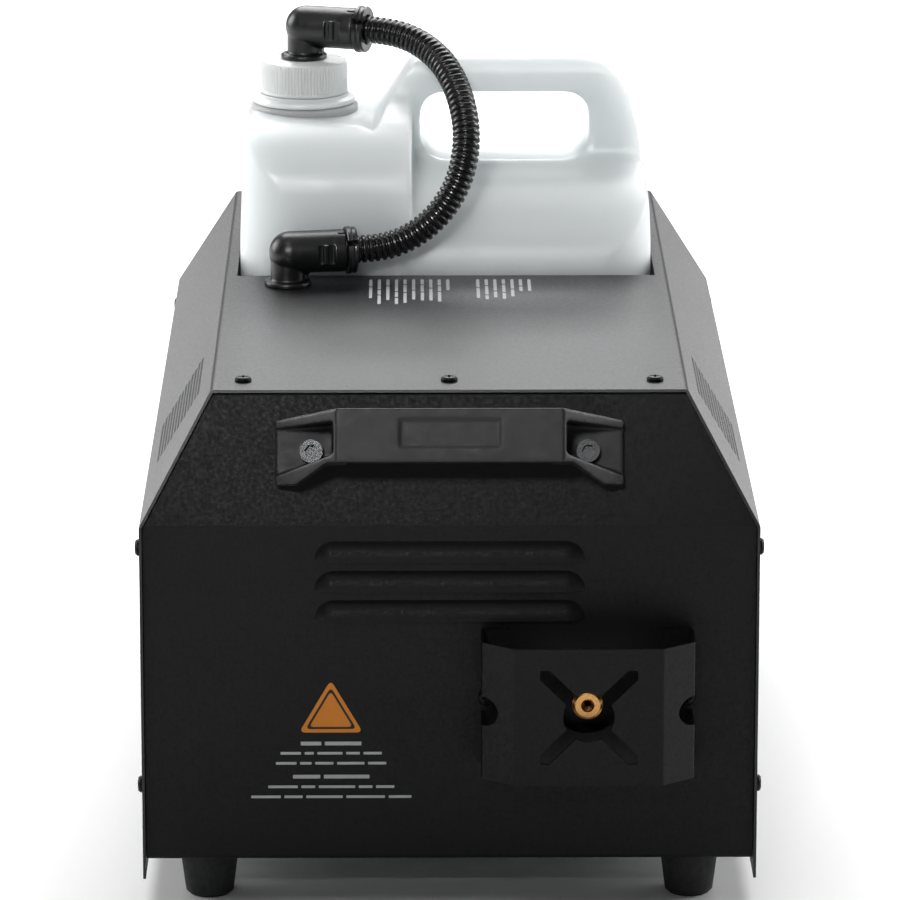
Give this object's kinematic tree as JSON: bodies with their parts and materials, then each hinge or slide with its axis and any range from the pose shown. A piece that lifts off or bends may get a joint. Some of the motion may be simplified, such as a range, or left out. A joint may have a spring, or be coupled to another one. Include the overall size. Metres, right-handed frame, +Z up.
{
  "type": "fog machine",
  "caption": "Compact heated fog machine in a folded steel housing, with a fluid can in a well, a guarded front nozzle and a carrying handle.",
  "frame": {"origin": "on the surface under the four feet, at the middle of the machine across X and between its front and rear extents along Y, the hose left out", "axes": "+Z up, +X to the right when facing the nozzle end from in front, +Y from the nozzle end towards the control end"},
  "size_m": [0.2744, 0.5146, 0.3491],
  "materials": {
    "cover_paint": "satin dark grey powder coat",
    "panel_paint": "fine-textured black powder coat",
    "inner_steel": "zinc-coated sheet",
    "rubber": "moulded",
    "black_screw": "black oxide",
    "bright_steel": "bright",
    "black_plastic": "moulded",
    "brass": "turned",
    "cast_alloy": "cast",
    "ceramic_wrap": "fibre blanket",
    "clear_tube": "flexible clear tube",
    "can_plastic": "natural translucent blown polyethylene",
    "display_glass": "smoked window",
    "circuit_board": "green laminate",
    "white_plastic": "nylon",
    "switch_red": "moulded"
  },
  "bodies": {
    "chassis": {"base_plate": "inner_steel", "base_screws": "black_screw", "board_spacers": "white_plastic", "can_well": "panel_paint", "control_board": "circuit_board", "cover_screws": "black_screw", "data_in": "black_plastic", "data_out": "black_plastic", "display": "display_glass", "feed_tube": "clear_tube", "foot_front_left": "rubber", "foot_front_right": "rubber", "foot_rear_left": "rubber", "foot_rear_right": "rubber", "foot_screws": "black_screw", "front_panel": "panel_paint", "guard_screws": "black_screw", "handle": "black_plastic", "handle_nuts": "bright_steel", "handle_screws": "bright_steel", "heater_block": "cast_alloy", "heater_case": "inner_steel", "heater_insulation": "ceramic_wrap", "heater_pipe": "bright_steel", "heating_element": "bright_steel", "hose": "black_plastic", "lower_collar": "black_plastic", "lower_elbow": "black_plastic", "lower_locknut": "black_plastic", "nozzle": "brass", "nozzle_guard": "panel_paint", "power_board": "circuit_board", "power_inlet": "black_plastic", "power_switch": "black_plastic", "pump_coil": "black_plastic", "pump_holders": "rubber", "pump_spring": "bright_steel", "pump_tube": "bright_steel", "pump_yoke": "inner_steel", "rear_panel": "panel_paint", "socket_screws": "black_screw", "temperature_switches": "black_plastic", "top_cover": "cover_paint", "vent_left": "cover_paint", "vent_right": "cover_paint"},
    "can_body": {"can": "can_plastic", "neck_ring": "can_plastic", "upper_elbow": "black_plastic", "upper_collar": "black_plastic", "upper_locknut": "black_plastic", "dip_tube": "clear_tube", "dip_filter": "brass"},
    "cap": {"cap": "can_plastic"},
    "rocker": {"power_rocker": "switch_red"},
    "fuse_drawer": {"fuse_drawer": "black_plastic"},
    "plunger": {"pump_plunger": "bright_steel"},
    "key_1": {"button_1": "black_plastic"},
    "key_2": {"button_2": "black_plastic"},
    "key_3": {"button_3": "black_plastic"},
    "key_4": {"button_4": "black_plastic"}
  },
  "joints": [
    {"name": "can_lift", "type": "slide", "parent": "chassis", "child": "can_body", "axis": [0, 0, 1], "range_m": [0, 0.05], "deforming": ["hose"]},
    {"name": "cap_turn", "type": "hinge", "parent": "can_body", "child": "cap", "pos_m": [-0.0673, 0.08173, 0.3224], "axis": [0, 0, 1], "range_deg": [0, 540]},
    {"name": "power_rocker_tilt", "type": "hinge", "parent": "chassis", "child": "rocker", "pos_m": [-0.022, 0.25233, 0.084], "axis": [1, 0, 0], "range_deg": [0, 16]},
    {"name": "fuse_drawer_pull", "type": "slide", "parent": "chassis", "child": "fuse_drawer", "axis": [0, 1, 0], "range_m": [0, 0.016]},
    {"name": "plunger_stroke", "type": "slide", "parent": "chassis", "child": "plunger", "axis": [0, 1, 0], "range_m": [0, 0.003], "stiffness_N_per_m": 800},
    {"name": "key_1_press", "type": "slide", "parent": "chassis", "child": "key_1", "axis": [0, -0.7444, -0.6677], "range_m": [0, 0.0012], "stiffness_N_per_m": 400},
    {"name": "key_2_press", "type": "slide", "parent": "chassis", "child": "key_2", "axis": [0, -0.7444, -0.6677], "range_m": [0, 0.0012], "stiffness_N_per_m": 400},
    {"name": "key_3_press", "type": "slide", "parent": "chassis", "child": "key_3", "axis": [0, -0.7444, -0.6677], "range_m": [0, 0.0012], "stiffness_N_per_m": 400},
    {"name": "key_4_press", "type": "slide", "parent": "chassis", "child": "key_4", "axis": [0, -0.7444, -0.6677], "range_m": [0, 0.0012], "stiffness_N_per_m": 400}
  ]
}
